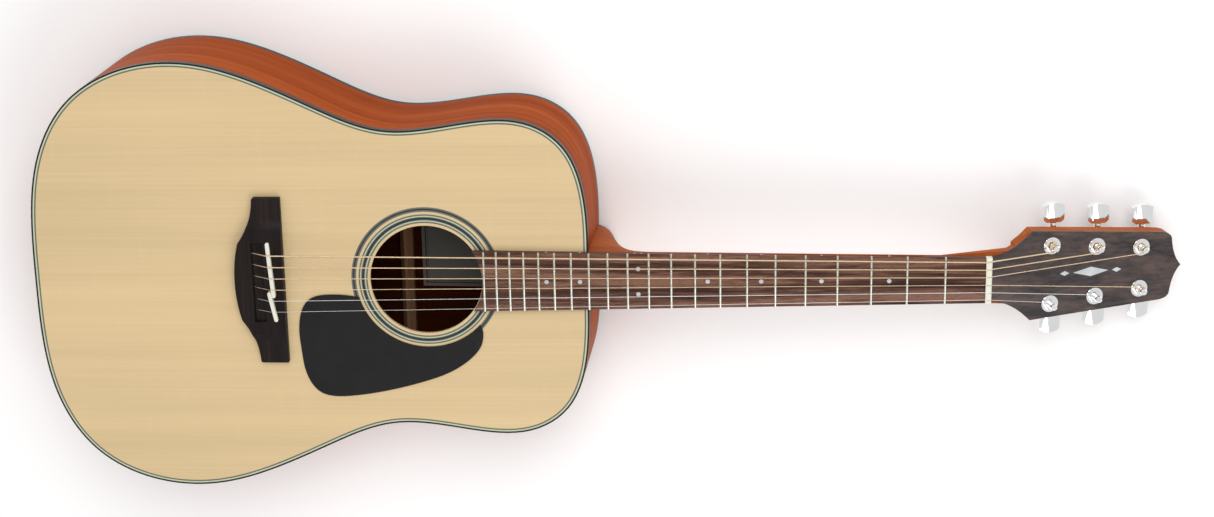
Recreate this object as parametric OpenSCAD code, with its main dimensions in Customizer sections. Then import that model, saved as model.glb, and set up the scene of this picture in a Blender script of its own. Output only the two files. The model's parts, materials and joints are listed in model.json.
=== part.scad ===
// Steel-string acoustic guitar with a dreadnought body, lying on its back.
// +X runs along the neck to the headstock, +Y is the bass side and +Z points out of the top.
// The origin is on the outside of the back, under the middle of the sound hole.
// Three tilted frames carry the upper parts: the top's plane, the neck's and the headstock's.

/* [Body] */
// Length of the body, from the neck joint to the tail
body_length = 510; // [500:1:516]
// Width across the lower bout
lower_bout = 404; // [396:1:408]
// Depth at the neck joint
depth_neck = 100; // [97:1:103]
// Depth at the tail
depth_tail = 121; // [117:1:124]
// Thickness of the soundboard
top_t = 2.9; // [2.6:0.1:3.2]
// Thickness of the back
back_t = 2.7; // [2.4:0.1:3]
// Thickness of the sides, and the width of the binding
side_t = 2.2; // [2:0.1:2.5]
// Diameter of the sound hole
hole_d = 103; // [100:1:104]

/* [Neck] */
// Scale length, from the nut to the uncompensated saddle
scale_length = 644; // [640:1:648]
// Width of the fingerboard at the nut
nut_w = 43; // [42:0.5:44.5]
// Width of the fingerboard at the neck joint
joint_w = 53.6; // [52:0.2:56]
// Number of frets
fret_count = 21; // [19:1:21]
// Thickness of the fingerboard along its middle
board_t = 6; // [5.8:0.1:6.5]
// Radius of the fingerboard's arched face
board_r = 305; // [254:1:406]
// Angle between the headstock and the neck
head_angle = 13.5; // [12:0.5:14]

/* [Strings] */
// Distance between the outer strings at the nut
nut_spread = 35.4; // [34:0.2:36]
// Distance between the outer strings at the saddle
saddle_spread = 54; // [52:0.5:55]
// Height of the strings over the twelfth fret
action = 2.1; // [1.8:0.1:2.6]

/* [Tuners] */
// Turns of a button for one turn of its post
gear_ratio = 15; // [14:1:16]
// Diameter of a string post
post_d = 6; // [5.6:0.1:6.2]

/* [Hidden] */
$fn = 96;

STRINGS = [1 : 6];
GROUPS = ["string", "string_post", "worm_shaft", "tuner_button", "tuner_housing"];

// ---- Frames ----
joint_fret = 14;
joint_gap = -1;
function fret_run(n) = scale_length * (1 - pow(2, -n / 12));
nut_x = 506;
joint_x = nut_x - fret_run(joint_fret) + joint_gap;
tail_x = joint_x - body_length;
taper = atan((depth_tail - depth_neck) / body_length);
depth_hole = depth_neck + joint_x * tan(taper);
neck_tilt = 0.8;
nut_t = 5.5;
plate_drop = 1.5;

module top_frame() {
    translate([0, 0, depth_hole])
        rotate([0, taper, 0])
            children();
}

module neck_frame() {
    top_frame()
        translate([joint_x, 0, 0])
            rotate([0, neck_tilt, 0])
                translate([-joint_x, 0, 0])
                    children();
}

module head_frame() {
    neck_frame()
        translate([nut_x + nut_t, 0, plate_drop])
            rotate([0, head_angle, 0])
                children();
}

// ---- Body outline ----
// Half outline as control points of a smooth curve: [distance from the neck joint, half width].
half_outline = [[1, 0], [-2, 58], [10, 125], [60, 156], [126, 144], [185, 135], [241, 161],
    [294, 187], [352, 206], [413, 202], [468, 173], [499, 119], [508, 60], [508, 0]];
outline_length = 508;
outline_width = 404;
curve_steps = 8;

function blend(a, b, c, d, t) =
    (a * pow(1 - t, 3)
     + b * (3 * pow(t, 3) - 6 * t * t + 4)
     + c * (-3 * pow(t, 3) + 3 * t * t + 3 * t + 1)
     + d * pow(t, 3)) / 6;
function both_sides(half) =
    concat(half, [for (i = [len(half) - 2 : -1 : 1]) [half[i][0], -half[i][1]]]);
function closed_curve(ctrl, steps) =
    let (n = len(ctrl))
    [for (i = [0 : n - 1], k = [0 : steps - 1])
        blend(ctrl[(i + n - 1) % n], ctrl[i], ctrl[(i + 1) % n], ctrl[(i + 2) % n], k / steps)];
function inset(curve, d) =
    let (n = len(curve))
    [for (i = [0 : n - 1])
        let (along = curve[(i + 1) % n] - curve[(i + n - 1) % n])
        curve[i] + d * [-along[1], along[0]] / norm(along)];
function bezier(a, b, c, t) = a * pow(1 - t, 2) + b * 2 * t * (1 - t) + c * t * t;

body_curve = [for (p = closed_curve(both_sides(half_outline), curve_steps))
    [joint_x - p[0] * body_length / outline_length, p[1] * lower_bout / outline_width]];
big = 900;

// Everything straight above the outline drawn in by d.
module column(d) {
    translate([0, 0, -10])
        linear_extrude(height = depth_tail + 40)
            polygon(inset(body_curve, d));
}

// Layer between two heights, measured from the outer face of the top.
module top_layer(low, high) {
    top_frame()
        translate([-big / 2, -big / 2, low])
            cube([big, big, high - low]);
}

// Layer between two heights above the outer face of the back.
module back_layer(low, high) {
    translate([-big / 2, -big / 2, low])
        cube([big, big, high - low]);
}

// Closed wall that follows the outline, between two insets.
module wall(outer, inner) {
    difference() {
        column(outer);
        column(inner);
    }
}

// ---- Body shell ----
binding_h = 6.5;
binding_face = 1.6;
purfling_w = 2.7;
purfling_h = 1.5;
lining_w = 5;
lining_h = 13;
ring_depth = 1.2;
ring_inner = [54, 62.2];
ring_outer = [64.6, 68.9];

module ring(radii, depth) {
    top_frame()
        translate([0, 0, -depth])
            difference() {
                cylinder(h = depth, r = radii[1], $fn = 180);
                translate([0, 0, -1])
                    cylinder(h = depth + 2, r = radii[0], $fn = 180);
            }
}

module soundboard() color("wheat") {
    difference() {
        intersection() {
            column(side_t);
            top_layer(-top_t, 0);
        }
        purfling_strip(1);
        top_frame()
            translate([0, 0, -top_t - 5])
                cylinder(h = top_t + 10, d = hole_d, $fn = 180);
        ring(ring_inner, ring_depth);
        ring(ring_outer, ring_depth);
    }
}

module rosette() color("slategray") {
    ring(ring_inner, ring_depth);
    ring(ring_outer, ring_depth);
}

// The purfling lies in a step cut along the binding and the top.
module purfling_strip(above) {
    intersection() {
        wall(binding_face, binding_face + purfling_w);
        top_layer(-purfling_h, above);
    }
}

module top_purfling() color("darkseagreen") purfling_strip(0);

module top_binding() color("black") {
    difference() {
        intersection() {
            wall(0, side_t);
            top_layer(-binding_h, 0);
        }
        purfling_strip(1);
    }
}

module back_binding() color("black") {
    intersection() {
        wall(0, side_t);
        back_layer(0, binding_h);
    }
}

module back() color("saddlebrown") {
    intersection() {
        column(side_t);
        back_layer(0, back_t);
    }
}

// One bent side: bass is y above 0, treble is y below 0.
module bent_side(direction) {
    difference() {
        intersection() {
            wall(0, side_t);
            back_layer(binding_h, 2 * depth_tail);
            translate([-big / 2, direction > 0 ? 0 : -big, 0])
                cube([big, big, big]);
        }
        top_layer(-binding_h, big);
        tenon();
        pin_shank();
    }
}

module side_bass() color("sienna") bent_side(1);

module side_treble() color("sienna") bent_side(-1);

// ---- Blocks and linings ----
block_len = 62;
block_half = 38;
tail_block_len = 20;
tail_block_half = 34;
tenon_len = 18;
tenon_h = 72;
tenon_root = 11;
tenon_tip = 14;
pin_z = 58;
pin_r = 2.2;
pin_depth = 20;
access_r = 4.6;
rod_z = -9.2;

// Dovetail under the end of the fingerboard.
module tenon() {
    top_frame()
        translate([0, 0, -binding_h - tenon_h])
            linear_extrude(height = tenon_h)
                polygon([[joint_x + 1, tenon_root], [joint_x - tenon_len, tenon_tip],
                         [joint_x - tenon_len, -tenon_tip], [joint_x + 1, -tenon_root]]);
}

module block_box(from_x, to_x, half) {
    difference() {
        intersection() {
            column(side_t);
            translate([from_x, -half, back_t])
                cube([to_x - from_x, 2 * half, big]);
        }
        top_layer(-top_t, big);
    }
}

// The adjuster of the truss rod is reached from the sound hole, through this bore.
module neck_block() color("peru") {
    difference() {
        block_box(joint_x - block_len, joint_x + 10, block_half);
        tenon();
        neck_frame()
            translate([joint_x - block_len - 5, 0, rod_z])
                rotate([0, 90, 0])
                    cylinder(h = block_len, r = access_r);
    }
}

module tail_block() color("peru") {
    difference() {
        block_box(tail_x - 10, tail_x + tail_block_len, tail_block_half);
        pin_shank();
    }
}

module linings() color("burlywood") {
    difference() {
        intersection() {
            wall(side_t, side_t + lining_w);
            union() {
                top_layer(-top_t - lining_h, -top_t);
                back_layer(back_t, back_t + lining_h);
            }
        }
        translate([joint_x - block_len, -block_half, -1])
            cube([big, 2 * block_half, big]);
        translate([tail_x - big + tail_block_len, -tail_block_half, -1])
            cube([big, 2 * tail_block_half, big]);
    }
}

module pin_shank() {
    translate([tail_x - 1, 0, pin_z])
        rotate([0, 90, 0])
            cylinder(h = pin_depth, r = pin_r);
}

// Strap button: a flange on the tail, a waist for the strap and a wider head.
pin_flange_r = 7;
pin_waist_r = 4;
pin_head_r = 6.5;

module end_pin() color("silver") {
    pin_shank();
    translate([tail_x, 0, pin_z])
        rotate([0, -90, 0])
            rotate_extrude()
                polygon([[0, 0.2], [pin_flange_r, 0.2], [pin_flange_r, 1.6], [pin_waist_r, 3.2],
                         [pin_waist_r, 8.2], [pin_head_r, 9.6], [pin_head_r, 11.4],
                         [pin_head_r - 1.6, 12.8], [0, 13]]);
}

// ---- Braces ----
x_cross = -82;
x_angle = 49;
x_brace = [8, 14];
shelf = side_t + lining_w;

// A bar glued under the top: a flat face up and a ridge down, size = [width, height].
module bar(length, size) {
    rotate([90, 0, 90])
        linear_extrude(height = length, center = true)
            polygon([[-size[0] / 2, 0], [size[0] / 2, 0], [size[0] / 2, -size[1] * 0.55],
                     [size[0] * 0.12, -size[1]], [-size[0] * 0.12, -size[1]],
                     [-size[0] / 2, -size[1] * 0.55]]);
}

module bar_between(a, b, size) {
    middle = (a + b) / 2;
    translate([middle[0], middle[1], 0])
        rotate([0, 0, atan2(b[1] - a[1], b[0] - a[0])])
            bar(norm(b - a), size);
}

// One arm of the X; the notch for the other arm is in the lower or the upper half.
module x_arm(direction, notch_low) {
    translate([x_cross, 0, 0])
        difference() {
            rotate([0, 0, direction * x_angle])
                bar(520, x_brace);
            rotate([0, 0, -direction * x_angle])
                translate([-20, -x_brace[0] / 2, notch_low ? -x_brace[1] : -x_brace[1] / 2])
                    cube([40, x_brace[0], x_brace[1] / 2 + (notch_low ? 0 : 1)]);
        }
}

module x_arms_plain() {
    for (direction = [-1, 1])
        translate([x_cross, 0, 0])
            rotate([0, 0, direction * x_angle])
                bar(520, x_brace);
}

module under_top() {
    intersection() {
        top_frame()
            translate([0, 0, -top_t])
                children();
        column(shelf);
    }
}

module top_braces() color("tan") {
    under_top() {
        x_arm(1, true);
        x_arm(-1, false);
    }
    under_top()
        translate([78, 0, 0])
            rotate([0, 0, 90])
                bar(400, [12, 17]);
    under_top()
        difference() {
            union() {
                for (side = [-1, 1]) {
                    bar_between([-170, side * 112], [-210, side * 165], [6, 8]);
                    bar_between([-110, side * 75], [-100, side * 150], [6, 8]);
                    bar_between([-34, side * 66], [52, side * 66], [10, 4]);
                }
                bar_between([-186, 70], [-262, -95], [7, 10]);
                bar_between([-232, 115], [-320, -70], [7, 9]);
            }
            x_arms_plain();
        }
}

plate_x = [-180, -122];
plate_half = [95, 50];

module bridge_plate() color("burlywood") {
    under_top()
        difference() {
            translate([0, 0, -2.4])
                linear_extrude(height = 2.4)
                    polygon([[plate_x[0], plate_half[0]], [plate_x[1], plate_half[1]],
                             [plate_x[1], -plate_half[1]], [plate_x[0], -plate_half[0]]]);
            x_arms_plain();
            bar_between([-186, 70], [-262, -95], [7, 10]);
        }
}

back_bars = [[66, 12, 14], [-35.5, 12, 14], [-150, 16, 8], [-262, 16, 8]];

module back_braces() color("tan") {
    intersection() {
        column(shelf);
        for (b = back_bars)
            translate([b[0], 0, back_t])
                rotate([180, 0, 90])
                    bar(420, [b[1], b[2]]);
    }
}

label_size = [78, 80];
label_at = [-22, -40];

module label() color("whitesmoke") {
    translate([label_at[0], label_at[1], back_t])
        cube([label_size[0], label_size[1], 0.3]);
}

// ---- Pickguard ----
guard_t = 1.3;
guard_hole_r = 64.6;
guard_ctrl = [[-67, -15], [-86, -14], [-107, -15], [-117.5, -28], [-120.5, -50], [-118, -70],
    [-117, -89], [-104.5, -115.5], [-68.5, -113], [-45, -109], [-19, -103], [10, -94],
    [25, -86.5], [38.5, -77], [48.5, -65.5], [50.5, -56.5], [51, -47], [44.5, -38], [12, -29],
    [-31, -25]];

module pickguard() color([0.11, 0.11, 0.12]) {
    top_frame()
        difference() {
            linear_extrude(height = guard_t)
                polygon(closed_curve(guard_ctrl, 6));
            translate([0, 0, -1])
                cylinder(h = guard_t + 2, r = guard_hole_r, $fn = 180);
        }
}

// ---- Strings ----
string_d = [1.35, 1.07, 0.81, 0.61, 0.42, 0.31];
fret_h = 1.1;
nut_lift = 0.5;
crown_drop = board_r - board_t;
saddle_r = board_r + fret_h + 2 * action - nut_lift;
nut_r = board_r + fret_h + nut_lift;

function spread_y(i, spread) = spread / 2 - (i - 1) * spread / 5;
function nut_y(i) = spread_y(i, nut_spread);
function saddle_y(i) = spread_y(i, saddle_spread);
function arch_z(radius, y) = sqrt(radius * radius - y * y) - crown_drop;
function string_r(i) = string_d[i - 1] / 2;

// A point of the top's frame in the neck's frame, and of the neck's in the headstock's.
function turned(p, a) = [p[0] * cos(a) + p[2] * sin(a), p[1], -p[0] * sin(a) + p[2] * cos(a)];
function neck_point(p) =
    turned([p[0] - joint_x, p[1], p[2]], -neck_tilt) + [joint_x, 0, 0];
function neck_from_head(p) =
    turned(p, head_angle) + [nut_x + nut_t, 0, plate_drop];

// Solid skin over rings of equal length; each ring turns clockwise when seen from the first one.
module loft(rings) {
    n = len(rings[0]);
    m = len(rings);
    sides = [for (j = [0 : m - 2], k = [0 : n - 1])
        let (a = j * n + k, b = j * n + (k + 1) % n)
        [a, b, b + n, a + n]];
    split = [for (f = sides) each [[f[0], f[1], f[2]], [f[0], f[2], f[3]]]];
    polyhedron(
        points = [for (r = rings) each r],
        faces = concat(split, [[for (k = [n - 1 : -1 : 0]) k], [for (k = [0 : n - 1]) (m - 1) * n + k]]));
}

// Round tube along a path of points that nowhere runs straight up.
tube_sides = 10;
module tube(path, r) {
    last = len(path) - 1;
    loft([for (j = [0 : last])
        let (along = path[min(j + 1, last)] - path[max(j - 1, 0)],
             across = cross([0, 0, 1], along), u = across / norm(across),
             up = cross(along, u), v = up / norm(up))
        [for (k = [0 : tube_sides - 1])
            let (a = -360 * k / tube_sides)
            path[j] + r * (cos(a) * u + sin(a) * v)]]);
}

// ---- Bridge ----
bridge_h = 10.2;
belly_h = 8.6;
wing_h = 5.6;
scoop_r = 18;
scoop_y = 62;
bridge_front = -130;
bridge_half = 78.9;
wing_rear = -155.8;
belly_rear = -175;
trough_x = [-158.2, -147.2];
trough_z = 3.4;
trough_half = 38;
mouth_x = trough_x[0];
mouth_z = 4.9;
ball_r = 2;
ball_len = 3.4;
ball_x = -171.5;
ball_seat = ball_x + ball_len + 0.4;
saddle_t = 3.4;
saddle_slot_z = 4.6;
// Each saddle piece as its two ends, over the bass strings and over the treble strings.
bass_saddle = [[-142.5, 37], [-138.7, -11.6]];
treble_saddle = [[-142.6, -9.4], [-138, -35.2]];

wing_end = [wing_rear, bridge_half - 2.5];
belly_edge = [belly_rear + 4.7, 36.7];
bridge_side = concat(
    [[bridge_front, 0], [bridge_front, bridge_half - 0.3], [bridge_front - 0.3, bridge_half]],
    [for (k = [0 : 6]) bezier([wing_rear + 2.5, bridge_half], [wing_rear, bridge_half], wing_end, k / 6)],
    [for (k = [1 : 10]) bezier(wing_end, [wing_rear - 1, 55], belly_edge, k / 10)],
    [for (k = [1 : 10]) bezier(belly_edge, [belly_rear, 20], [belly_rear, 0], k / 10)]);

module bridge_shape() {
    linear_extrude(height = bridge_h)
        polygon(both_sides(bridge_side));
}

// Strip of width t with round ends, from one end point to the other.
module saddle_plan(ends, t) {
    along = ends[1] - ends[0];
    heading = atan2(along[1], along[0]);
    polygon([for (e = [0, 1], k = [0 : 8])
        let (a = heading + (e == 0 ? 90 : -90) + k * 22.5)
        ends[e] + t / 2 * [cos(a), sin(a)]]);
}

module saddle_blank(ends) {
    intersection() {
        top_frame()
            translate([0, 0, saddle_slot_z])
                linear_extrude(height = 20)
                    saddle_plan(ends, saddle_t);
        neck_frame()
            translate([-220, 0, -crown_drop])
                rotate([0, 90, 0])
                    cylinder(h = 160, r = saddle_r, $fn = 256);
    }
}

module saddle_bass() color("ivory") saddle_blank(bass_saddle);

module saddle_treble() color("ivory") saddle_blank(treble_saddle);

module bridge() color([0.16, 0.1, 0.09]) {
    top_frame()
        difference() {
            bridge_shape();
            for (side = [-1, 1]) {
                translate([-200, side * scoop_y, wing_h + scoop_r])
                    rotate([0, 90, 0])
                        cylinder(h = 100, r = scoop_r);
                translate([-200, side > 0 ? scoop_y : -scoop_y - 40, wing_h])
                    cube([100, 40, 20]);
            }
            translate([trough_x[0], -trough_half, trough_z])
                cube([trough_x[1] - trough_x[0], 2 * trough_half, 20]);
            translate([belly_rear - 10, -60, belly_h])
                cube([trough_x[0] - belly_rear + 10, 120, 10]);
            translate([0, 0, saddle_slot_z])
                linear_extrude(height = 20) {
                    saddle_plan(bass_saddle, saddle_t);
                    saddle_plan(treble_saddle, saddle_t);
                }
            for (i = STRINGS) {
                translate([belly_rear - 5, saddle_y(i), mouth_z])
                    rotate([0, 90, 0])
                        cylinder(h = mouth_x - belly_rear + 7, r = string_r(i) + 0.25, $fn = 24);
                translate([belly_rear - 5, saddle_y(i), mouth_z])
                    rotate([0, 90, 0])
                        cylinder(h = ball_seat - belly_rear + 5, r = ball_r + 0.4, $fn = 32);
            }
        }
}

// ---- Neck ----
function half_w(x) = nut_w / 2 + (nut_x - x) * (joint_w - nut_w) / 2 / (nut_x - joint_x);
board_end = 36;

// Plan of the fingerboard, in the neck's frame.
module board_plan(from_x, to_x) {
    polygon([[from_x, half_w(from_x)], [to_x, half_w(to_x)],
             [to_x, -half_w(to_x)], [from_x, -half_w(from_x)]]);
}

module arch(radius) {
    translate([-300, 0, -crown_drop])
        rotate([0, 90, 0])
            cylinder(h = 900, r = radius, $fn = 256);
}

fret_w = 2.4;
tang_t = 0.6;
tang_h = 2;
single_dots = [3, 5, 7, 9, 15, 17];
double_dot = 12;
dot_r = 2;
dot_depth = 1.4;
double_y = 12;
side_dot_r = 1;
side_dot_z = 2.6;

function fret_x(n) = nut_x - fret_run(n);
function dot_x(n) = (fret_x(n) + fret_x(n - 1)) / 2;

module face_dot(n, y) {
    translate([dot_x(n), y, board_t - dot_depth])
        cylinder(h = 4, r = dot_r, $fn = 32);
}

module side_dot(x) {
    translate([x, half_w(x) - 1.2, side_dot_z])
        rotate([-90, 0, 0])
            cylinder(h = 4, r = side_dot_r, $fn = 24);
}

module dot_cutters() {
    for (n = single_dots) {
        face_dot(n, 0);
        side_dot(dot_x(n));
    }
    for (side = [-1, 1]) {
        face_dot(double_dot, side * double_y);
        side_dot(dot_x(double_dot) + side * 3);
    }
}

module board_prism() {
    translate([0, 0, -4])
        linear_extrude(height = 20)
            board_plan(board_end, nut_x);
}

module fingerboard() color([0.27, 0.17, 0.14]) {
    difference() {
        neck_frame()
            difference() {
                intersection() {
                    board_prism();
                    arch(board_r);
                }
                translate([joint_x, -50, -20])
                    cube([500, 100, 20]);
                for (n = [1 : fret_count])
                    translate([fret_x(n) - tang_t / 2, -50, board_t - 1 - tang_h])
                        cube([tang_t, 100, 20]);
                dot_cutters();
            }
        top_layer(-40, 0);
        top_frame()
            translate([0, 0, -20])
                cylinder(h = 60, d = hole_d + 1, $fn = 180);
    }
}

module position_dots() color("whitesmoke") {
    neck_frame()
        intersection() {
            dot_cutters();
            board_prism();
            arch(board_r);
        }
}

// A fret: a round crown that follows the arch, on a thin tang.
module fret(n) {
    crown_r = fret_w / 2;
    translate([fret_x(n), 0, -crown_drop])
        rotate([0, 90, 0])
            rotate([0, 0, 173.5])
                rotate_extrude(angle = 13, $fn = 256)
                    intersection() {
                        translate([board_r + fret_h - crown_r, 0])
                            circle(r = crown_r, $fn = 32);
                        translate([board_r, -crown_r])
                            square([2 * fret_w, 2 * crown_r]);
                    }
    intersection() {
        translate([fret_x(n) - tang_t / 2, -50, board_t - 1 - tang_h])
            cube([tang_t, 100, 20]);
        arch(board_r + fret_h / 2);
    }
}

module frets() color("silver") {
    neck_frame()
        intersection() {
            for (n = [1 : fret_count])
                fret(n);
            board_prism();
        }
}

// ---- Headstock ----
head_t = 15.5;
veneer_t = 1.8;
shoulder_s = 38;
shoulder_w = 42.2;
head_tip = 182;
post_hole_r = 4.7;
slab_start = 23;

function shoulder(s) = nut_w / 2 + (shoulder_w - nut_w / 2) * pow(s / shoulder_s, 1.9);
function head_half(start) = concat(
    [[start, 0]],
    [for (k = [0 : 12]) let (s = start + (shoulder_s - start) * k / 12) [s, shoulder(s)]],
    [for (k = [0 : 6]) bezier([160, 32.5], [171.5, 31.8], [172.2, 25.5], k / 6)],
    [for (k = [1 : 10]) bezier([172.2, 25.5], [174, 8.5], [head_tip, 0], k / 10)]);

module head_outline(start) {
    polygon(both_sides(head_half(start)));
}

function tuner_row(i) = i <= 3 ? i - 1 : 6 - i;
function tuner_side(i) = i <= 3 ? 1 : -1;
function post_at(i) =
    [56.5 + 43 * tuner_row(i), tuner_side(i) * (27.5 - 3.9 * tuner_row(i))];

module post_holes() {
    for (i = STRINGS)
        translate([post_at(i)[0], post_at(i)[1], -head_t - 1])
            cylinder(h = head_t + 2, r = post_hole_r);
}

module headplate() color([0.2, 0.14, 0.13]) {
    difference() {
        head_frame()
            difference() {
                translate([0, 0, -veneer_t])
                    linear_extrude(height = veneer_t)
                        head_outline(0);
                post_holes();
            }
        neck_frame()
            translate([nut_x, -nut_w, 0])
                cube([nut_t, 2 * nut_w, 10]);
    }
}

// Cross sections of the shaft: [x, top, depth, half width, roundness], where roundness 2 is an
// ellipse and larger values are squarer. The heel is deep at the joint and sweeps into the shaft.
heel_run = 64;
heel_depth = 313;
depth_at_nut = 14.6;
depth_at_joint = 17.4;
head_end = nut_x + nut_t + 34;

function shaft_depth(x) =
    depth_at_nut + (depth_at_joint - depth_at_nut) * (nut_x - x) / (nut_x - joint_x);
function heel_part(x) = pow(max(0, 1 - (x - joint_x) / heel_run), 3.25);
function past_nut(x) = max(0, x - nut_x - nut_t);
function ease(t) = t <= 0 ? 0 : t >= 1 ? 1 : t * t * (3 - 2 * t);
function section_top(x) =
    x <= nut_x + nut_t ? 0
    : -min(veneer_t / cos(head_angle) - plate_drop + past_nut(x) * tan(head_angle), 40);
function section_low(x) =
    let (shaft = shaft_depth(min(x, nut_x)) + heel_depth * heel_part(x),
         head = head_t / cos(head_angle) - plate_drop + (x - nut_x - nut_t) * tan(head_angle))
    -(shaft + (head - shaft) * ease((x - nut_x + 22) / 46));
function section_w(x) =
    x <= nut_x + nut_t ? half_w(x)
    : shoulder(past_nut(x) / cos(head_angle));
function section_n(x) =
    2.1 - 0.5 * ease((joint_x + 50 - x) / 50) + 9 * pow(ease((x - nut_x + 12) / 36), 2);
section_points = 24;
function section(x) =
    [for (k = [0 : section_points])
        let (a = 180 * k / section_points, n = 2 / section_n(x),
             c = cos(a), s = max(0, sin(a)))
        [x, section_w(x) * sign(c) * pow(abs(c), n),
         section_top(x) + (section_low(x) - section_top(x)) * pow(s, n)]];
stations = concat(
    [for (k = [0 : 17]) joint_x - 4 + k * 3],
    [for (k = [0 : 5]) joint_x + 53 + k * 5],
    [for (k = [1 : 5]) joint_x + 78 + k * 60],
    [for (k = [0 : 13]) nut_x - 22 + k * (head_end - nut_x + 22) / 13]);

module shaft_skin() {
    neck_frame()
        loft([for (x = stations) section(x)]);
}

cap_z = [0.8, 3.3];
channel_w = 6.2;
channel_h = 12;
channel_end = 480;

module neck() color([0.6, 0.3, 0.15]) {
    difference() {
        union() {
            difference() {
                shaft_skin();
                column(0);
                back_layer(-big, cap_z[1]);
            }
            head_frame()
                translate([0, 0, -head_t])
                    linear_extrude(height = head_t - veneer_t)
                        head_outline(slab_start);
            tenon();
        }
        head_frame()
            post_holes();
        head_frame()
            translate([0, 0, -veneer_t])
                linear_extrude(height = 30)
                    head_outline(0);
        neck_frame()
            translate([joint_x - tenon_len - 10, -channel_w / 2, -channel_h])
                cube([channel_end - joint_x + tenon_len + 10, channel_w, channel_h + 1]);
        head_frame()
            screw_places()
                screw_pilot();
    }
}

module heel_cap() color("black") {
    difference() {
        intersection() {
            shaft_skin();
            back_layer(cap_z[0], cap_z[1]);
        }
        column(0);
    }
}

// Two-way truss rod: a round rod under a flat bar, joined by a block at each end.
module truss_rod() color("dimgray") {
    end_len = 10;
    rod_r = 2.3;
    from_x = joint_x + 2;
    neck_frame() {
        translate([from_x, 0, rod_z])
            rotate([0, 90, 0])
                cylinder(h = channel_end - from_x - 1, r = rod_r);
        translate([from_x, -2.5, -4])
            cube([channel_end - from_x - 1, 5, 3]);
        for (x = [from_x, channel_end - end_len - 1])
            translate([x, -3, -channel_h + 0.2])
                cube([end_len, 6, channel_h - 1]);
        translate([joint_x - 40, 0, rod_z])
            rotate([0, 90, 0])
                cylinder(h = 43, r = rod_r);
        translate([joint_x - 50, 0, rod_z])
            rotate([0, 90, 0])
                cylinder(h = 14, r = 3.9, $fn = 6);
    }
}

// ---- Nut ----
module nut_slot(i) {
    a = nut_top(i);
    b = wrap_path(i)[0];
    run = b - a;
    r = string_r(i) + 0.02;
    translate(a)
        rotate([0, acos(run[2] / norm(run)), atan2(run[1], run[0])])
            translate([0, 0, -1]) {
                cylinder(h = 9, r = r, $fn = 24);
                translate([-6, -r, 0])
                    cube([6, 2 * r, 9]);
            }
}

module nut() color("ivory") {
    neck_frame()
        difference() {
            intersection() {
                translate([nut_x, -nut_w / 2, 0])
                    cube([nut_t, nut_w, 12]);
                arch(nut_r + 0.5);
                translate([nut_x - 9, 0, -4])
                    rotate([90, 0, 0])
                        cylinder(h = 60, r = 18, center = true);
            }
            for (i = STRINGS)
                nut_slot(i);
        }
}

// ---- Tuners ----
// Heights here are measured from the face of the headplate.
wrap_z = 8;
wrap_turns = 2.5;
post_top = 13;
hole_z = 10.2;
hole_r = 0.95;
hole_turn = 25;
tail_len = 3.9;
gear_z = -21;
gear_w = 3.2;
gear_pitch_r = 5.9;
worm_pitch_r = 2.6;
worm_offset = gear_pitch_r + worm_pitch_r;
lead = 2 * PI * gear_pitch_r / gear_ratio;
shaft_r = 2;

running = 0.05;
wrap_steps = 14;
function wrap_r(i) = post_d / 2 + 2 * running + string_r(i);

// Where a string leaves the nut, in the neck's frame.
function nut_top(i) = [nut_x + 0.2, nut_y(i), arch_z(nut_r + string_r(i), nut_y(i))];

// The turns round the post start where the string touches them and wind down the post.
function wrap_path(i) =
    let (p = post_at(i), a = [-nut_t, nut_y(i)], side = tuner_side(i), r = wrap_r(i),
         bearing = atan2(p[1] - a[1], p[0] - a[0]) - side * asin(r / norm(p - a)))
    [for (k = [0 : wrap_turns * wrap_steps])
        let (turn = k * 360 / wrap_steps, angle = bearing + side * (turn - 90))
        neck_from_head([p[0] + r * cos(angle), p[1] + r * sin(angle),
                        wrap_z - 2.15 * string_r(i) * turn / 360])];

saddle_back = 1.9;
function saddle_line(i) =
    let (y = saddle_y(i), ends = i <= 4 ? bass_saddle : treble_saddle,
         t = (y - ends[0][1]) / (ends[1][1] - ends[0][1]))
    ends[0][0] + t * (ends[1][0] - ends[0][0]) - saddle_back;
function saddle_top(i) =
    [saddle_line(i), saddle_y(i), arch_z(saddle_r + string_r(i) + 0.03, saddle_y(i))];

module string_run(i) {
    neck_frame()
        tube(concat([neck_point([ball_x + 2, saddle_y(i), mouth_z]),
                     neck_point([mouth_x, saddle_y(i), mouth_z]),
                     saddle_top(i), nut_top(i)], wrap_path(i)), string_r(i));
    top_frame()
        translate([ball_x, saddle_y(i), mouth_z])
            rotate([0, 90, 0])
                cylinder(h = ball_len, r = ball_r, $fn = 32);
}

module string_n(i) {
    color(i <= 4 ? "peru" : "lightgray")
        string_run(i);
}

// Places children at a tuner: x along the headstock, y out to the button, z up from the plate.
module at_tuner(i) {
    head_frame()
        translate([post_at(i)[0], post_at(i)[1], 0])
            mirror([0, tuner_side(i) > 0 ? 0 : 1, 0])
                children();
}

tooth_h = 1.15;
tooth_low = gear_pitch_r - 0.7;

module worm_wheel() {
    pitch = 360 / gear_ratio;
    twist_angle = gear_w * lead / (2 * PI * worm_pitch_r) / gear_pitch_r * 180 / PI;
    rotate([0, 0, -twist_angle / 2])
        linear_extrude(height = gear_w, twist = -twist_angle, slices = 4)
            polygon([for (k = [0 : gear_ratio - 1], c = [[-0.3, 0], [-0.13, 1], [0.13, 1], [0.3, 0]])
                let (a = (k + c[0]) * pitch, r = tooth_low + c[1] * tooth_h)
                [r * cos(a), r * sin(a)]]);
}

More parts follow.
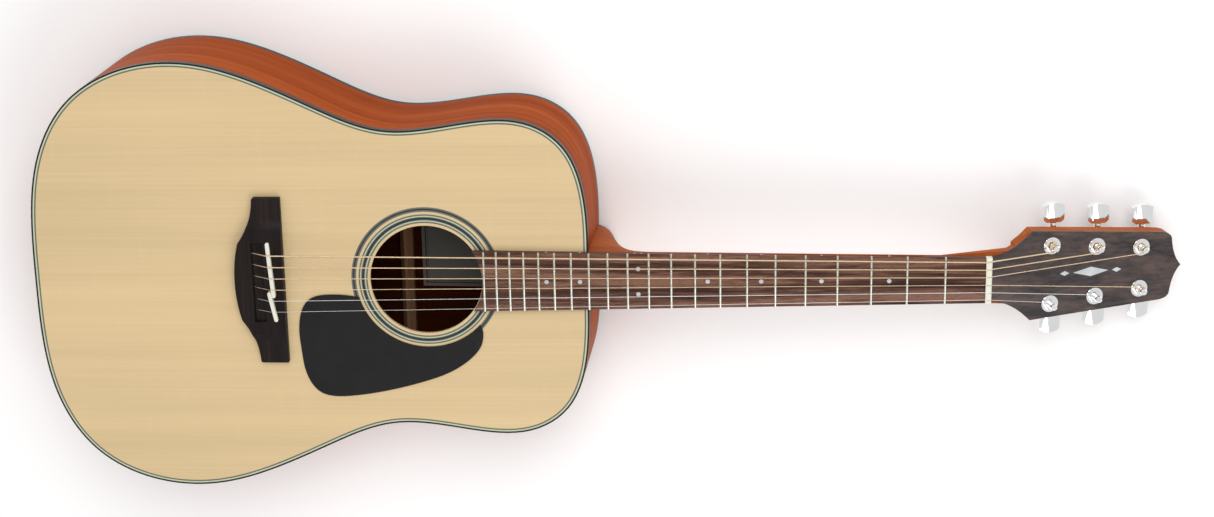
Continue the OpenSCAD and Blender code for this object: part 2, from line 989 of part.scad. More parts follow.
// A post, its worm wheel and the trimmed end of the string through the post's hole.
module string_post(i) {
    at_tuner(i) {
        difference() {
            rotate_extrude()
                polygon([[0, gear_z - 4.2], [2, gear_z - 4.2], [2, gear_z - gear_w / 2],
                         [3.6, gear_z - gear_w / 2], [3.6, gear_z + gear_w / 2],
                         [post_d / 2, gear_z + gear_w / 2 + 0.2], [post_d / 2, post_top - 1],
                         [post_d / 2 - 1, post_top], [0, post_top]]);
            translate([0, 0, hole_z])
                rotate([0, 90, hole_turn])
                    cylinder(h = 20, r = hole_r, center = true, $fn = 32);
        }
        translate([0, 0, gear_z - gear_w / 2])
            difference() {
                worm_wheel();
                translate([0, 0, -1])
                    cylinder(h = gear_w + 2, r = 3);
            }
        translate([0, 0, hole_z])
            rotate([0, 90, hole_turn])
                cylinder(h = 2 * tail_len, r = string_r(i), center = true, $fn = 24);
    }
}

module string_post_n(i) {
    color("silver")
        string_post(i);
}

// Screw thread as a strip swept along a helix; it is groove-centred at y = 0 facing the wheel.
thread_turns = 3;
thread_steps = 20;
thread_root = 2;
thread_top = worm_pitch_r + 0.55;

function thread_ring(a) =
    let (along = lead * (a / 360 - thread_turns / 2))
    [for (p = [[thread_root - 0.4, -0.31], [thread_top, -0.13], [thread_top, 0.13],
               [thread_root - 0.4, 0.31]])
        [p[0] * cos(a), p[0] * sin(a), along + p[1] * lead]];

module worm_thread() {
    loft([for (k = [0 : thread_turns * thread_steps]) thread_ring(k * 360 / thread_steps)]);
}

shaft_in = -8;
button_in = 16;
button_len = 18.5;

module worm_shaft(i) {
    at_tuner(i)
        translate([worm_offset, 0, gear_z])
            rotate([-90, 0, 0]) {
                translate([0, 0, shaft_in])
                    cylinder(h = button_in + 9 - shaft_in, r = shaft_r, $fn = 48);
                rotate([0, 0, 180])
                    worm_thread();
            }
}

module worm_shaft_n(i) {
    color("dimgray")
        worm_shaft(i);
}

button_w = 20;
button_t = 8;
button_edge_t = 4.6;

module button_plan() {
    intersection() {
        translate([-button_w / 2, 0])
            square([button_w, button_len]);
        translate([0, button_len - 17])
            circle(r = 17, $fn = 128);
        translate([0, 12.5])
            circle(r = 14.2, $fn = 128);
    }
}

module button_lens() {
    sag = (button_t - button_edge_t) / 2;
    lens_r = (pow(button_w / 2, 2) + sag * sag) / (2 * sag);
    intersection_for (side = [-1, 1])
        translate([0, side * (lens_r - button_t / 2)])
            circle(r = lens_r, $fn = 128);
}

module tuner_button(i) {
    at_tuner(i)
        translate([worm_offset, button_in, gear_z])
            difference() {
                union() {
                    intersection() {
                        translate([0, 0, -10])
                            linear_extrude(height = 20)
                                button_plan();
                        rotate([-90, 0, 0])
                            linear_extrude(height = button_len + 1)
                                button_lens();
                    }
                    rotate([90, 0, 0])
                        translate([0, 0, -3])
                            cylinder(h = 3.4, r = 3.1, $fn = 48);
                }
                rotate([-90, 0, 0])
                    translate([0, 0, -2])
                        cylinder(h = 11, r = shaft_r, $fn = 48);
            }
}

module tuner_button_n(i) {
    color("silver")
        tuner_button(i);
}

// Die-cast housing on the rear of the headstock, hollow round the gears.
house_r = 9;
house_low = -head_t - 11.6;
collar_r = 3.5;
collar_end = button_in - 0.7;
ear = [-8.6, -7.4];

module tuner_housing(i) {
    at_tuner(i)
        difference() {
            union() {
                translate([0, 0, house_low])
                    cylinder(h = -head_t - house_low, r = house_r);
                translate([0, -8.6, house_low])
                    cube([13.2, 17.2, -head_t - house_low]);
                translate([worm_offset, 0, gear_z])
                    rotate([-90, 0, 0])
                        cylinder(h = collar_end, r = collar_r);
                translate([ear[0], ear[1], -head_t - 2.2])
                    cylinder(h = 2.2, r = 3.1);
                translate([0, 0, -head_t - 2.2])
                    rotate([0, 0, atan2(ear[1], ear[0])])
                        translate([0, -3.1, 0])
                            cube([norm(ear), 6.2, 2.2]);
            }
            translate([0, 0, gear_z - gear_w / 2 - 0.5])
                cylinder(h = gear_w + 1, r = tooth_low + tooth_h + 0.5);
            translate([worm_offset, -6.2, gear_z])
                rotate([-90, 0, 0])
                    cylinder(h = 12.4, r = thread_top + 0.35);
            translate([worm_offset, shaft_in - 0.2, gear_z])
                rotate([-90, 0, 0])
                    cylinder(h = 60, r = shaft_r + running, $fn = 48);
            translate([0, 0, gear_z - 4.3])
                cylinder(h = 6, r = 2 + running);
            translate([0, 0, gear_z])
                cylinder(h = 30, r = post_d / 2 + running);
            translate([ear[0], ear[1], -head_t - 5])
                cylinder(h = 10, r = 1.1, $fn = 24);
        }
}

module tuner_housing_n(i) {
    color("gainsboro")
        tuner_housing(i);
}

// Threaded bushing with a hexagon head, and a round washer, over each post hole.
module post_bushings() color("gainsboro") {
    for (i = STRINGS)
        at_tuner(i)
            difference() {
                union() {
                    cylinder(h = 0.9, r = 7.9);
                    translate([0, 0, 0.9])
                        cylinder(h = 2.4, r = 5.6, $fn = 6);
                    translate([0, 0, -9])
                        cylinder(h = 10, r = post_hole_r);
                }
                translate([0, 0, -20])
                    cylinder(h = 40, r = post_d / 2 + running);
            }
}

module screw_places() {
    for (i = STRINGS)
        translate([post_at(i)[0], post_at(i)[1], 0])
            mirror([0, tuner_side(i) > 0 ? 0 : 1, 0])
                translate([ear[0], ear[1], -head_t - 2.2])
                    children();
}

module screw_pilot() {
    cylinder(h = 10.2, r = 1.1, $fn = 24);
}

module housing_screws() color("silver") {
    head_frame()
        screw_places() {
            screw_pilot();
            translate([0, 0, -1.1])
                difference() {
                    cylinder(h = 1.1, r = 2.2, $fn = 32);
                    for (a = [0, 90])
                        rotate([0, 0, a])
                            translate([-1.4, -0.25, -1])
                                cube([2.8, 0.5, 1.6]);
                }
        }
}

soundboard();
back();
side_bass();
side_treble();
top_binding();
top_purfling();
back_binding();
rosette();
pickguard();
bridge();
saddle_bass();
saddle_treble();
bridge_plate();
top_braces();
back_braces();
linings();
neck_block();
tail_block();
label();
end_pin();
neck();
heel_cap();
truss_rod();
fingerboard();
frets();
position_dots();
nut();
headplate();
post_bushings();
housing_screws();
for (i = STRINGS) {
    string_n(i);
    string_post_n(i);
    worm_shaft_n(i);
    tuner_button_n(i);
    tuner_housing_n(i);
}
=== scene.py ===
"""Looks of the acoustic guitar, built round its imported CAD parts.

Lengths are in metres, X points towards the headstock and Z up from the back.
"""

import json
import math

import bmesh
import bpy
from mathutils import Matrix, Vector


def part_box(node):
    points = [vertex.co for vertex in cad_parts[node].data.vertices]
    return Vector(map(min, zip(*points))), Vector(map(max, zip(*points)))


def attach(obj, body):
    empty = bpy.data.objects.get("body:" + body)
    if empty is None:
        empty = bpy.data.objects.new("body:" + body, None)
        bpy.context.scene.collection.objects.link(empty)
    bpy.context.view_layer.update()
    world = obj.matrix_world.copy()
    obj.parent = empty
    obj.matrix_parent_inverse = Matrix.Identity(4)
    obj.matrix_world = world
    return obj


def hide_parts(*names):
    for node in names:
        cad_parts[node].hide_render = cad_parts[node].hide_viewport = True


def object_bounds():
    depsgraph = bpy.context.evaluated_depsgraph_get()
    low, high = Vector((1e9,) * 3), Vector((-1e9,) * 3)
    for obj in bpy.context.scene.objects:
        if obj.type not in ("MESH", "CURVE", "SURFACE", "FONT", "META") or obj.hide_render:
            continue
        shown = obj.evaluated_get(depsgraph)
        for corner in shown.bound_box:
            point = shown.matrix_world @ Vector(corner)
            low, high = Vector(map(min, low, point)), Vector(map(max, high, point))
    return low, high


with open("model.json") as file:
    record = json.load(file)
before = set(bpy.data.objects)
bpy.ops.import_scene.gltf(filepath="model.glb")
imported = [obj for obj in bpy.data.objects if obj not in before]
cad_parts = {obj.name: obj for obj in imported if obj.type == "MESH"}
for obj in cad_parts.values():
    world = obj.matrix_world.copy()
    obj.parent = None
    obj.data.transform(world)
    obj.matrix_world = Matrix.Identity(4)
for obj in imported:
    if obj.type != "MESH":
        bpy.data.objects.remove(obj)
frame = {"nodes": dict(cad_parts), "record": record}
CAD_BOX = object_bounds()
NODES = frame["nodes"]
RECORD = frame["record"]
BODY_OF = {n: body for body, names in RECORD["behaviour"]["bodies"].items() for n in names}
STRINGS = range(1, 7)
WOUND = range(1, 5)
MM = 0.001
WELD = 0.002 * MM

# ---- Camera ----
SENSOR = 36
LENS = 67.827
CAMERA_AT = (0.36486, 0.6454, 2.06284)
CAMERA_TURN = (-17.6637, 5.5065, -0.9483)

camera_data = bpy.data.cameras.new("camera")
camera_data.lens = LENS
camera_data.sensor_width = SENSOR
camera = bpy.data.objects.new("camera", camera_data)
camera.location = CAMERA_AT
camera.rotation_euler = [math.radians(a) for a in CAMERA_TURN]
bpy.context.scene.collection.objects.link(camera)
bpy.context.scene.camera = camera
bpy.context.scene.view_settings.view_transform = "Standard"


# ---- Nodes ----
class Shader:
    """A material and short calls that add nodes to it."""

    def __init__(self, name, rough=0.5, metallic=0.0, coat=0.0, coat_rough=0.05, specular=0.5):
        self.material = bpy.data.materials.new(name)
        self.material.use_nodes = True
        self.tree = self.material.node_tree
        self.shader = self.tree.nodes["Principled BSDF"]
        self.set("Roughness", rough)
        self.set("Metallic", metallic)
        self.set("Coat Weight", coat)
        self.set("Coat Roughness", coat_rough)
        self.set("Specular IOR Level", specular)
        self.place = self.add("ShaderNodeTexCoord").outputs["Object"]

    def set(self, socket, value):
        if isinstance(value, bpy.types.NodeSocket):
            self.tree.links.new(value, self.shader.inputs[socket])
        else:
            self.shader.inputs[socket].default_value = value

    def add(self, kind, values=None, **settings):
        node = self.tree.nodes.new(kind)
        for key, value in settings.items():
            setattr(node, key, value)
        for key, value in (values or {}).items():
            if isinstance(value, bpy.types.NodeSocket):
                self.tree.links.new(value, node.inputs[key])
            else:
                node.inputs[key].default_value = value
        return node

    def scaled(self, scale, source, shift):
        values = {"Vector": source or self.place, "Scale": scale, "Location": shift}
        return self.add("ShaderNodeMapping", values).outputs[0]

    def noise(self, scale, detail=3.0, source=None, shift=(0, 0, 0)):
        values = {"Vector": self.scaled(scale, source, shift), "Scale": 1.0, "Detail": detail}
        return self.add("ShaderNodeTexNoise", values).outputs[0]

    def math(self, operation, *values):
        inputs = dict(enumerate(values))
        return self.add("ShaderNodeMath", inputs, operation=operation).outputs[0]

    def between(self, value, low, high, to_low=0.0, to_high=1.0):
        values = {"Value": value, "From Min": low, "From Max": high,
                  "To Min": to_low, "To Max": to_high}
        return self.add("ShaderNodeMapRange", values).outputs[0]

    def ramp(self, value, *stops, steps=False):
        node = self.add("ShaderNodeValToRGB", {"Fac": value})
        node.color_ramp.interpolation = "CONSTANT" if steps else "LINEAR"
        points = node.color_ramp.elements
        while len(points) < len(stops):
            points.new(0.5)
        for point, (at, colour) in zip(points, sorted(stops)):
            point.position = at
            point.color = (*colour, 1)
        return node.outputs[0]

    def mix(self, amount, first, second, blend="MIX"):
        node = self.add("ShaderNodeMix", data_type="RGBA", blend_type=blend)
        for socket, value in zip((0, 6, 7), (amount, first, second)):
            if isinstance(value, bpy.types.NodeSocket):
                self.tree.links.new(value, node.inputs[socket])
            elif socket:
                node.inputs[socket].default_value = (*value, 1)
            else:
                node.inputs[socket].default_value = value
        return node.outputs[2]

    def bump(self, height, distance, strength):
        values = {"Height": height, "Distance": distance, "Strength": strength}
        self.set("Normal", self.add("ShaderNodeBump", values).outputs[0])

    def split(self):
        """The object's own X, Y and Z, in metres."""
        return self.add("ShaderNodeSeparateXYZ", {0: self.place}).outputs


def toned(colour, factor):
    return tuple(min(1, c * factor) for c in colour)


def spruce(name, colour):
    """Quarter-sawn top in two mirrored halves: growth lines along X and a faint silky figure."""
    m = Shader(name, rough=0.42, coat=0.25, coat_rough=0.28)
    half = m.math("ABSOLUTE", m.split()[1])
    wander = m.noise((2.2, 14, 1), detail=2)
    drift = m.math("MULTIPLY_ADD", wander, 0.004, half)
    spacing = m.math("MULTIPLY_ADD", m.math("POWER", half, 2.0), -0.9, drift)
    across = m.add("ShaderNodeCombineXYZ", {0: 0.0, 1: spacing, 2: 0.0}).outputs[0]
    line = m.add("ShaderNodeTexWave", {"Vector": across, "Scale": 230.0, "Distortion": 0.0},
                 wave_type="BANDS", bands_direction="Y").outputs[1]
    late = m.between(line, 0.72, 1.0)
    broad = m.noise((0.9, 46, 1), detail=4, shift=(3, 0, 0))
    fine = m.noise((5, 420, 1), detail=3, shift=(7, 2, 0))
    silk = m.noise((90, 12, 1), detail=2, shift=(0, 5, 0))
    cloud = m.noise((3.4, 5.2, 1), detail=2, shift=(1, 8, 0))
    tone = m.math("ADD", m.math("MULTIPLY", broad, 0.5), m.math("MULTIPLY", fine, 0.3))
    tone = m.math("ADD", tone, m.math("MULTIPLY", cloud, 0.25))
    base = m.ramp(m.between(tone, 0.36, 0.72), (0.0, toned(colour, 0.90)), (0.5, colour),
                  (1.0, toned(colour, 1.09)))
    late_colour = tuple(c * factor for c, factor in zip(colour, (0.86, 0.74, 0.60)))
    lined = m.mix(m.math("MULTIPLY", late, 0.22), base, late_colour)
    sheen = m.math("MULTIPLY", m.between(silk, 0.58, 0.75), 0.10)
    silky = m.mix(sheen, lined, toned(colour, 1.12))
    m.set("Base Color", silky)
    m.set("Roughness", m.between(fine, 0.3, 0.7, 0.36, 0.46))
    m.bump(m.math("ADD", m.math("MULTIPLY", late, -0.6), fine), 0.03 * MM, 0.35)
    return m.material


def straight_wood(name, dark, mid, light, rough, specular, pores, along=(1, 0, 0), streak=1.0,
                  contrast=1.0, inside=None):
    """Wood with its grain along the axes marked in along: streaks, fine fibre and open pores.

    inside is (height, factor): above that height in metres the wood's colour is multiplied by
    factor, for a face that is seen only through the sound hole; this is bare wood darkened further
    by painted shade for the dark inside of the body.
    """
    m = Shader(name, rough=rough, specular=specular)

    def stretched(long, short):
        return tuple(long if a else short for a in along)

    wander = m.noise(stretched(3, 9), detail=2, shift=(4, 1, 2))
    shift = m.math("MULTIPLY", m.math("SUBTRACT", wander, 0.5), 0.012)
    sideways = {axis: 0.0 if a else shift for axis, a in enumerate(along)}
    offset = m.add("ShaderNodeCombineXYZ", sideways).outputs[0]
    moved = m.add("ShaderNodeVectorMath", {0: m.place, 1: offset}, operation="ADD").outputs[0]
    wide = m.noise(stretched(1.6 * streak, 70 * streak), detail=4, source=moved)
    narrow = m.noise(stretched(5 * streak, 330 * streak), detail=4, source=moved, shift=(2, 3, 1))
    fibre = m.noise(stretched(26, 1500), detail=3, source=moved, shift=(5, 1, 4))
    pore = m.noise(stretched(55, 1900), detail=1, source=moved, shift=(1, 6, 3))
    tone = m.math("ADD", m.math("MULTIPLY", wide, 0.55), m.math("MULTIPLY", narrow, 0.35))
    tone = m.math("ADD", tone, m.math("MULTIPLY", fibre, 0.1))
    half = 0.16 / contrast
    colour = m.ramp(m.between(tone, 0.5 - half, 0.5 + half), (0.0, dark), (0.5, mid), (1.0, light))
    open_pore = m.between(pore, 0.60, 0.68)
    colour = m.mix(m.math("MULTIPLY", open_pore, pores), colour, toned(dark, 0.45))
    # Painted shade: the inner face above inside[0] is multiplied by inside[1], far darker than
    # bare wood alone, for the dark inside of the body.
    if inside:
        bare_and_shaded = m.math("GREATER_THAN", m.split()[2], inside[0])
        colour = m.mix(bare_and_shaded, colour, (inside[1],) * 3, blend="MULTIPLY")
    m.set("Base Color", colour)
    m.set("Roughness", m.between(narrow, 0.3, 0.7, rough - 0.05, rough + 0.08))
    height = m.math("SUBTRACT", m.math("MULTIPLY", fibre, 0.4),
                    m.math("MULTIPLY", open_pore, pores))
    m.bump(height, 0.06 * MM, 0.5)
    return m.material


def plastic(name, colour, rough, coat=0.0, mottle=0.06, grain_scale=900, specular=0.4):
    """Moulded or cast material with a faint mottle and a fine surface."""
    m = Shader(name, rough=rough, coat=coat, coat_rough=0.12, specular=specular)
    cloud = m.noise((60, 60, 60), detail=3)
    fine = m.noise((grain_scale,) * 3, detail=2, shift=(2, 2, 2))
    m.set("Base Color", m.ramp(m.between(cloud, 0.3, 0.7), (0.0, toned(colour, 1 - mottle)),
                               (1.0, toned(colour, 1 + mottle))))
    m.set("Roughness", m.between(fine, 0.3, 0.7, rough - 0.04, rough + 0.06))
    m.bump(fine, 0.02 * MM, 0.5)
    return m.material


def metal(name, colour, rough, smudge=0.05):
    """Metal with faint smudges in its polish."""
    m = Shader(name, rough=rough, metallic=1.0)
    cloud = m.noise((45, 45, 45), detail=3)
    m.set("Base Color", m.ramp(m.between(cloud, 0.25, 0.75), (0.0, toned(colour, 0.94)),
                               (1.0, colour)))
    marks = m.noise((160, 160, 160), detail=3, shift=(1, 2, 3))
    m.set("Roughness", m.between(marks, 0.3, 0.7, max(0.02, rough - smudge), rough + smudge))
    return m.material


def wound_string(name, colour, pitch):
    """Fine wire wound round a core, with turns pitch metres apart along X and painted shade in the
    grooves between them.
    """
    m = Shader(name, rough=0.3, metallic=1.0)
    turns = m.add("ShaderNodeTexWave", {"Vector": m.place, "Scale": 2 * math.pi / (20 * pitch),
                                        "Distortion": 0.0},
                  wave_type="BANDS", bands_direction="X").outputs[1]
    cloud = m.noise((25, 300, 300), detail=3)
    base = m.ramp(m.between(cloud, 0.3, 0.7), (0.0, toned(colour, 0.88)), (1.0, colour))
    # Painted shade: the colour darkens in the low grooves between the turns.
    groove_shade = m.math("MULTIPLY", m.between(turns, 0.0, 0.35, 1.0, 0.0), 0.25)
    m.set("Base Color", m.mix(groove_shade, base, toned(colour, 0.35)))
    m.set("Roughness", m.between(cloud, 0.3, 0.7, 0.24, 0.36))
    m.bump(turns, pitch * 0.35, 0.7)
    return m.material


def paper(name, colour, line):
    """Blank paper label with two thin border lines, drawn from the label's own edges."""
    m = Shader(name, rough=0.8, specular=0.1)
    low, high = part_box("label")
    x, y = m.split()[:2]
    away = []
    for place, a, b in ((x, low[0], high[0]), (y, low[1], high[1])):
        offset = m.math("ABSOLUTE", m.math("SUBTRACT", place, (a + b) / 2))
        away.append(m.math("SUBTRACT", (b - a) / 2, offset))
    edge = m.math("MULTIPLY", m.math("MINIMUM", *away), 1 / MM)
    lines = m.ramp(m.between(edge, 0, 10), (0.0, (0, 0, 0)), (0.30, (1, 1, 1)), (0.42, (0, 0, 0)),
                   (0.54, (1, 1, 1)), (0.58, (0, 0, 0)), steps=True)
    fleck = m.noise((700, 700, 200), detail=3)
    stock = m.ramp(m.between(fleck, 0.3, 0.7), (0.0, toned(colour, 0.88)), (1.0, colour))
    m.set("Base Color", m.mix(lines, stock, line))
    m.bump(fleck, 0.06 * MM, 0.4)
    return m.material


def ringed(name, rings, fleck_colour):
    """Inlay rings about the sound hole's axis; rings is (radius in mm where it starts, colour)."""
    m = Shader(name, rough=0.3, specular=0.2)
    x, y = m.split()[:2]
    radius = m.math("SQRT", m.math("ADD", m.math("POWER", x, 2.0), m.math("POWER", y, 2.0)))
    inner, outer = rings[0][0], rings[-1][0]
    wobble = m.math("MULTIPLY", m.noise((300, 300, 300), detail=2), 0.1 * MM)
    at = m.between(m.math("ADD", radius, wobble), inner * MM, outer * MM)
    colour = m.ramp(at, *[((r - inner) / (outer - inner), c) for r, c in rings[:-1]], steps=True)
    fleck = m.noise((900, 900, 200), detail=2, shift=(3, 3, 3))
    m.set("Base Color", m.mix(m.between(fleck, 0.45, 0.75, 0.0, 0.35), colour, fleck_colour))
    m.bump(fleck, 0.02 * MM, 0.3)
    return m.material


# ---- Colours ----
SPRUCE = (0.636, 0.474, 0.254)
IVORY_LINE = (0.50, 0.54, 0.36)
GREY_LINE = (0.13, 0.14, 0.125)
BLACK_LINE = (0.020, 0.021, 0.021)
MAHOGANY = [(0.245, 0.040, 0.008), (0.365, 0.071, 0.014), (0.48, 0.110, 0.027)]
BOARD = [(0.035, 0.013, 0.008), (0.100, 0.045, 0.029), (0.215, 0.108, 0.073)]
# Painted shade for the back's inner face: above 2.2 mm its colour is multiplied by 0.10, for the
# dark inside of the body seen through the sound hole.
BACK_INSIDE_SHADE = (0.0022, 0.10)

MATERIALS = {
    "spruce_top": spruce("spruce_top", SPRUCE),
    "mahogany_side": straight_wood("mahogany_side", *MAHOGANY, along=(1, 1, 0), rough=0.34,
                                   specular=0.005, pores=0.35, contrast=1.1),
    "mahogany_back": straight_wood("mahogany_back", *MAHOGANY, rough=0.34, specular=0.02,
                                   pores=0.35, contrast=0.9, inside=BACK_INSIDE_SHADE),
    "neck_mahogany": straight_wood("neck_mahogany", (0.26, 0.05, 0.012), (0.38, 0.095, 0.024),
                                   (0.48, 0.14, 0.040), rough=0.42, specular=0.02, pores=0.3),
    "fingerboard": straight_wood("fingerboard", *BOARD, rough=0.5, pores=0.6, contrast=1.9,
                                 streak=1.2, specular=0.15),
    "bridge": straight_wood("bridge", (0.007, 0.005, 0.005), (0.015, 0.010, 0.009),
                            (0.034, 0.019, 0.015), along=(0, 1, 0), rough=0.45, pores=0.4,
                            specular=0.12),
    "headplate": straight_wood("headplate", (0.028, 0.022, 0.023), (0.058, 0.044, 0.042),
                               (0.100, 0.066, 0.056), rough=0.36, pores=0.3, contrast=1.5,
                               specular=0.25),
    # Brace and lining wood are darkened well below their own colour as painted shade for the dark
    # inside of the body, seen only through the sound hole.
    "brace_wood": straight_wood("brace_wood", (0.15, 0.07, 0.035), (0.22, 0.11, 0.055),
                                (0.28, 0.15, 0.08), along=(0, 1, 0), rough=0.6, pores=0.2,
                                specular=0.1),
    "lining_wood": straight_wood("lining_wood", (0.10, 0.05, 0.025), (0.15, 0.075, 0.04),
                                 (0.20, 0.11, 0.06), along=(1, 1, 0), rough=0.65, pores=0.2,
                                 specular=0.1),
    "black_binding": plastic("black_binding", (0.014, 0.014, 0.015), rough=0.3, specular=0.2),
    "ivory_line": plastic("ivory_line", IVORY_LINE, rough=0.35, specular=0.2),
    "grey_line": plastic("grey_line", GREY_LINE, rough=0.35, specular=0.2),
    "pickguard": plastic("pickguard", (0.017, 0.0165, 0.0165), rough=0.34, grain_scale=1500,
                         specular=0.1),
    "bone": plastic("bone", (0.72, 0.71, 0.60), rough=0.28, coat=0.2, mottle=0.04),
    "chrome": metal("chrome", (0.97, 0.975, 0.98), 0.07, smudge=0.03),
    "steel": metal("steel", (0.62, 0.62, 0.61), 0.26),
    "fret_wire": metal("fret_wire", (0.66, 0.66, 0.58), 0.24),
    "plain_steel": metal("plain_steel", (0.95, 0.95, 0.95), 0.34),
    "pearl_dots": plastic("pearl_dots", (0.50, 0.53, 0.55), rough=0.25, coat=0.4, mottle=0.12),
}
ROSETTE = [(53.8, GREY_LINE), (55.4, IVORY_LINE), (56.4, GREY_LINE), (57.2, BLACK_LINE),
           (59.0, GREY_LINE), (59.8, IVORY_LINE), (60.8, GREY_LINE), (64.0, GREY_LINE),
           (66.1, BLACK_LINE), (67.4, GREY_LINE), (69.2, GREY_LINE)]
# The label is white paper; its stock colour is darkened to grey as painted shade for the dark
# inside of the body.
MATERIALS["label_paper"] = paper("label_paper", (0.165, 0.155, 0.14), (0.06, 0.045, 0.035))
MATERIALS["rosette_lines"] = ringed("rosette_lines", ROSETTE, (0.10, 0.12, 0.10))
BRONZE = (0.97, 0.74, 0.50)
for i, pitch in zip(WOUND, (0.40, 0.34, 0.26, 0.20)):
    MATERIALS[f"wound_{i}"] = wound_string(f"wound_bronze_{i}", BRONZE, pitch * MM)

FINISH = {
    "soundboard": "spruce_top", "back": "mahogany_back", "side_bass": "mahogany_side",
    "side_treble": "mahogany_side", "top_binding": "black_binding",
    "back_binding": "black_binding", "heel_cap": "black_binding", "top_purfling": "grey_line",
    "rosette": "rosette_lines", "pickguard": "pickguard", "bridge": "bridge",
    "saddle_bass": "bone", "saddle_treble": "bone", "nut": "bone", "bridge_plate": "brace_wood",
    "top_braces": "brace_wood", "back_braces": "brace_wood", "linings": "lining_wood",
    "neck_block": "brace_wood", "tail_block": "brace_wood", "label": "label_paper",
    "end_pin": "chrome", "neck": "neck_mahogany", "truss_rod": "steel",
    "fingerboard": "fingerboard", "frets": "fret_wire", "position_dots": "pearl_dots",
    "headplate": "headplate", "post_bushings": "chrome", "housing_screws": "steel",
}
for i in STRINGS:
    FINISH[f"string_{i}"] = f"wound_{i}" if i in WOUND else "plain_steel"
    FINISH[f"string_post_{i}"] = "chrome"
    FINISH[f"worm_shaft_{i}"] = "steel"
    FINISH[f"tuner_button_{i}"] = "chrome"
    FINISH[f"tuner_housing_{i}"] = "chrome"


def paint(obj, material):
    obj.data.materials.clear()
    obj.data.materials.append(material)


def smooth(mesh, angle):
    """Shades the mesh smooth, with hard edges where faces meet at more than angle degrees."""
    for face in mesh.polygons:
        face.use_smooth = True
    mesh.set_sharp_from_angle(angle=math.radians(angle))


for node, obj in NODES.items():
    paint(obj, MATERIALS[FINISH[node]])


# ---- Pieces ----
def new_piece(name, mesh, body, material):
    obj = bpy.data.objects.new(name, mesh)
    bpy.context.scene.collection.objects.link(obj)
    paint(obj, material)
    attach(obj, body)
    return obj


def faced_out(mesh):
    """Turns the faces of a closed mesh so that they all face out."""
    bm = bmesh.new()
    bm.from_mesh(mesh)
    bmesh.ops.recalc_face_normals(bm, faces=bm.faces)
    bm.to_mesh(mesh)
    bm.free()


FLAT_ANGLE = 0.02
EDGE_ANGLE = 30
SMOOTH_ANGLE = 50


def eased(node, width, segments=2):
    """A copy of a CAD node with its edges eased by width mm, which replaces the node."""
    mesh = NODES[node].data.copy()
    bm = bmesh.new()
    bm.from_mesh(mesh)
    bmesh.ops.remove_doubles(bm, verts=bm.verts, dist=WELD)
    bmesh.ops.dissolve_limit(bm, angle_limit=math.radians(FLAT_ANGLE), verts=bm.verts,
                             edges=bm.edges)
    bmesh.ops.recalc_face_normals(bm, faces=bm.faces)
    bm.to_mesh(mesh)
    bm.free()
    obj = new_piece(f"{node}_eased", mesh, BODY_OF[node], MATERIALS[FINISH[node]])
    bevel = obj.modifiers.new("ease", "BEVEL")
    bevel.width = width * MM
    bevel.segments = segments
    bevel.limit_method = "ANGLE"
    bevel.angle_limit = math.radians(EDGE_ANGLE)
    smooth(mesh, SMOOTH_ANGLE)
    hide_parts(node)


for i in STRINGS:
    eased(f"tuner_button_{i}", 1.1, segments=4)
    eased(f"tuner_housing_{i}", 0.7, segments=3)
for node, width in (("bridge", 0.5), ("saddle_bass", 0.4), ("saddle_treble", 0.4), ("nut", 0.35),
                    ("pickguard", 0.3), ("end_pin", 0.3)):
    eased(node, width)


def walked(edges):
    """The closed loops of points that a set of (a, b) vertex pairs makes."""
    links = {}
    for a, b in edges:
        links.setdefault(a, []).append(b)
        links.setdefault(b, []).append(a)
    loops = []
    while links:
        start = next(iter(links))
        loop, last, here = [], None, start
        while here in links:
            loop.append(here)
            ahead = [v for v in links.pop(here) if v != last]
            last, here = here, ahead[0]
        loops.append(loop)
    return loops


STRIP_WIDTH = 2.7
IVORY_WIDTH = 1.3
STRIP_DEPTH = 1.4 * MM


def purfling():
    """The strip round the top as it is seen: an ivory line outside and a grey one inside it."""
    bm = bmesh.new()
    bm.from_mesh(NODES["top_purfling"].data)
    bmesh.ops.remove_doubles(bm, verts=bm.verts, dist=WELD)
    bm.verts.ensure_lookup_table()
    bm.verts.index_update()
    rims = [(e.verts[0].index, e.verts[1].index) for e in bm.edges
            if sorted(f.normal.z > 0.9 for f in e.link_faces) == [False, True]]
    points = {i: bm.verts[i].co.copy() for i in {v for rim in rims for v in rim}}
    bm.free()
    inner, outer = sorted(([points[i] for i in loop] for loop in walked(rims)),
                          key=lambda loop: max(p.y for p in loop))
    down = Vector((0, 0, -STRIP_DEPTH))
    mesh = bpy.data.meshes.new("purfling_lines")
    verts, faces, slots = [], [], []
    for p in outer:
        q = min(inner, key=lambda other: (other - p).length_squared)
        top = [p, p.lerp(q, IVORY_WIDTH / STRIP_WIDTH), q]
        verts += top + [point + down for point in reversed(top)]
    count = len(outer)
    for i in range(count):
        a, b = 6 * i, 6 * ((i + 1) % count)
        for k in range(6):
            n = (k + 1) % 6
            faces.append([a + k, b + k, b + n, a + n])
            slots.append(0 if k in (0, 4, 5) else 1)
    mesh.from_pydata(verts, [], faces)
    faced_out(mesh)
    obj = new_piece("purfling_lines", mesh, BODY_OF["top_purfling"], MATERIALS["ivory_line"])
    obj.data.materials.append(MATERIALS["grey_line"])
    for face, slot in zip(mesh.polygons, slots):
        face.material_index = slot
    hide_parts("top_purfling")


purfling()


INLAY_SINK = 0.25 * MM
INLAY_PROUD = 0.05 * MM


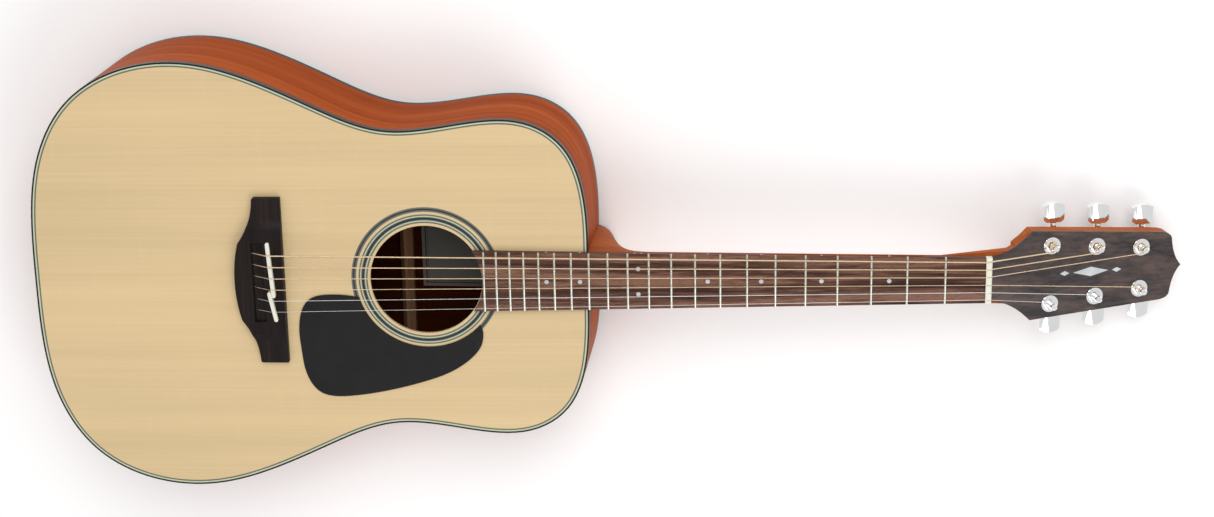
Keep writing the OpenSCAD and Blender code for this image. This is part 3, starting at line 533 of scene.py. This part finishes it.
def inlaid(name, node, middle, outline, material):
    """A thin piece let into a node's face, about the point at x = middle on its centre line.

    outline is in mm along and across that face.
    """
    mesh = NODES[node].data
    face = max((f for f in mesh.polygons if f.normal.z > 0.5), key=lambda f: f.area)
    up = face.normal.copy()
    along = Vector((up.z, 0, -up.x)).normalized()
    side = up.cross(along)
    start = face.center + along * ((middle - face.center.x) / along.x)
    start -= side * start.dot(side)
    ring = [start + along * (a * MM) + side * (b * MM) for a, b in outline]
    count = len(ring)
    verts = [p - up * INLAY_SINK for p in ring] + [p + up * INLAY_PROUD for p in ring]
    faces = [list(range(count - 1, -1, -1)), list(range(count, 2 * count))]
    faces += [[i, (i + 1) % count, count + (i + 1) % count, count + i] for i in range(count)]
    made = bpy.data.meshes.new(name)
    made.from_pydata([tuple(v) for v in verts], [], faces)
    faced_out(made)
    new_piece(name, made, BODY_OF[node], material)


def lozenge(at, length, width):
    """A diamond's corners, with its middle at mm along the face."""
    return [(at - length / 2, 0), (at, -width / 2), (at + length / 2, 0), (at, width / 2)]


head_low, head_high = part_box("headplate")
INLAY_SHIFT = 4 * MM
INLAY_AT = (head_low.x + head_high.x) / 2 + INLAY_SHIFT
for part, shape in (("middle", lozenge(0, 34, 9)), ("near", lozenge(-25, 9, 4.5)),
                    ("far", lozenge(25, 9, 4.5))):
    inlaid(f"head_inlay_{part}", "headplate", INLAY_AT, shape, MATERIALS["pearl_dots"])

# ---- Stage ----
FLOOR_HALF = 14
FLOOR_GAP = 0.5 * MM
STAGE_MIDDLE = (0.2, 0, 0)
WORLD_STRENGTH = 0.72


def floor():
    bm = bmesh.new()
    bmesh.ops.create_grid(bm, x_segments=8, y_segments=8, size=FLOOR_HALF)
    mesh = bpy.data.meshes.new("floor")
    bm.to_mesh(mesh)
    bm.free()
    obj = bpy.data.objects.new("floor", mesh)
    obj.location = (STAGE_MIDDLE[0], STAGE_MIDDLE[1], CAD_BOX[0].z - FLOOR_GAP)
    bpy.context.scene.collection.objects.link(obj)
    m = Shader("floor", rough=0.9)
    cloud = m.noise((1.5, 1.5, 1.5), detail=2)
    m.set("Base Color", m.ramp(cloud, (0.3, (0.96, 0.96, 0.96)), (0.7, (0.975, 0.975, 0.975))))
    paint(obj, m.material)


def softbox(name, location, size, power):
    """A rectangular lamp of size metres and power watts, aimed at the stage's middle."""
    data = bpy.data.lights.new(name, "AREA")
    data.shape = "RECTANGLE"
    data.size, data.size_y = size
    data.energy = power
    obj = bpy.data.objects.new(name, data)
    obj.location = location
    obj.rotation_mode = "QUATERNION"
    aim = Vector(STAGE_MIDDLE) - Vector(location)
    obj.rotation_quaternion = aim.to_track_quat("-Z", "Y")
    bpy.context.scene.collection.objects.link(obj)


floor()
softbox("key", (0.5, 1.7, 2.6), (1.8, 1.8), 36)
softbox("fill", (1.4, -1.6, 2.4), (2.0, 1.6), 24)
world = bpy.data.worlds.new("studio")
world.use_nodes = True
background = world.node_tree.nodes["Background"]
background.inputs["Color"].default_value = (1, 1, 1, 1)
background.inputs["Strength"].default_value = WORLD_STRENGTH
bpy.context.scene.world = world
